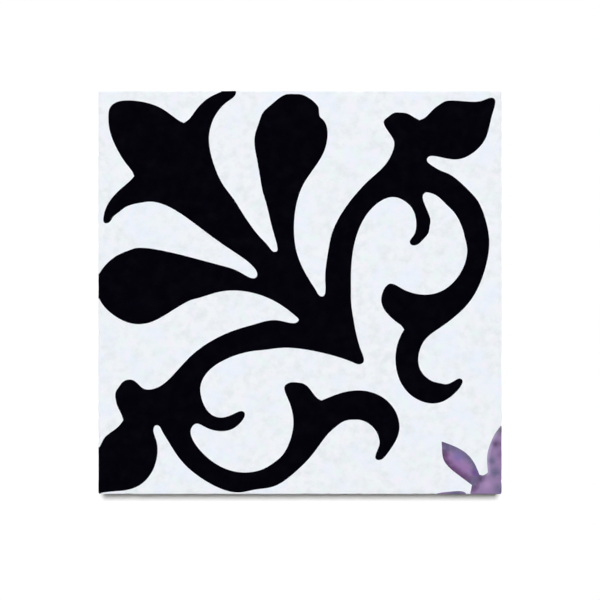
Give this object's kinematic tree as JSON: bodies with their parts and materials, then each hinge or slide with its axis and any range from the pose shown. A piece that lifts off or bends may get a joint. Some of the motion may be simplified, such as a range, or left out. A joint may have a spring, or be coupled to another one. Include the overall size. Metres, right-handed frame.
{
  "type": "cement tile",
  "caption": "Flat square cement floor tile with a flush inlaid palmette and scroll pattern on its face, pressed as one slab with a plain back.",
  "frame": {"origin": "centre of the tile's outline, on the plane of its back", "axes": "+Z out of the decorated face, +X to the right and +Y to the top of the pattern as seen from above"},
  "size_m": [0.2, 0.2, 0.016],
  "materials": {
    "pigmented_cement": "matte, pressed smooth"
  },
  "bodies": {
    "root": {"cement_tile": "pigmented_cement"}
  },
  "joints": []
}
